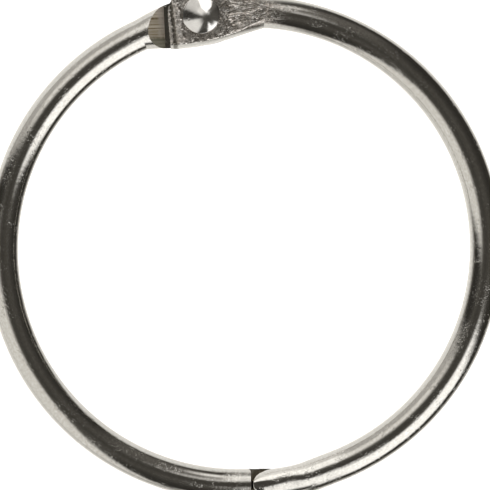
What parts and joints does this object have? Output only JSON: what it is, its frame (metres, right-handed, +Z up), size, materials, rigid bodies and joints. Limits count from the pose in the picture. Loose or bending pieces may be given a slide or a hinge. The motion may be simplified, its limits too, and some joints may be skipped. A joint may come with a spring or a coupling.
{
  "type": "binder ring",
  "caption": "Hinged snap-lock binder ring of round nickel-plated steel wire: hammered lugs riveted as a hinge, and arms that close in a half lap.",
  "frame": {"origin": "middle of the closed ring's outline, on the surface it lies on", "axes": "+Z up, square to the ring and towards the rivet's domed head; +Y from the snap closure towards the hinge; +X towards the arm that swings"},
  "size_m": [0.058, 0.0586, 0.0044],
  "materials": {
    "nickel_wire": "bright nickel plate over steel wire, lightly scuffed, duller where it was hammered",
    "nickel_rivet": "bright nickel plate over a steel rivet"
  },
  "bodies": {
    "fixed": {"left_arm": "nickel_wire", "hinge_rivet": "nickel_rivet"},
    "swinging": {"right_arm": "nickel_wire"}
  },
  "joints": [
    {"name": "hinge", "type": "hinge", "parent": "fixed", "child": "swinging", "pos_m": [0, 0.02613, 0.0018], "axis": [0, 0, 1], "range_deg": [0, 130]}
  ]
}
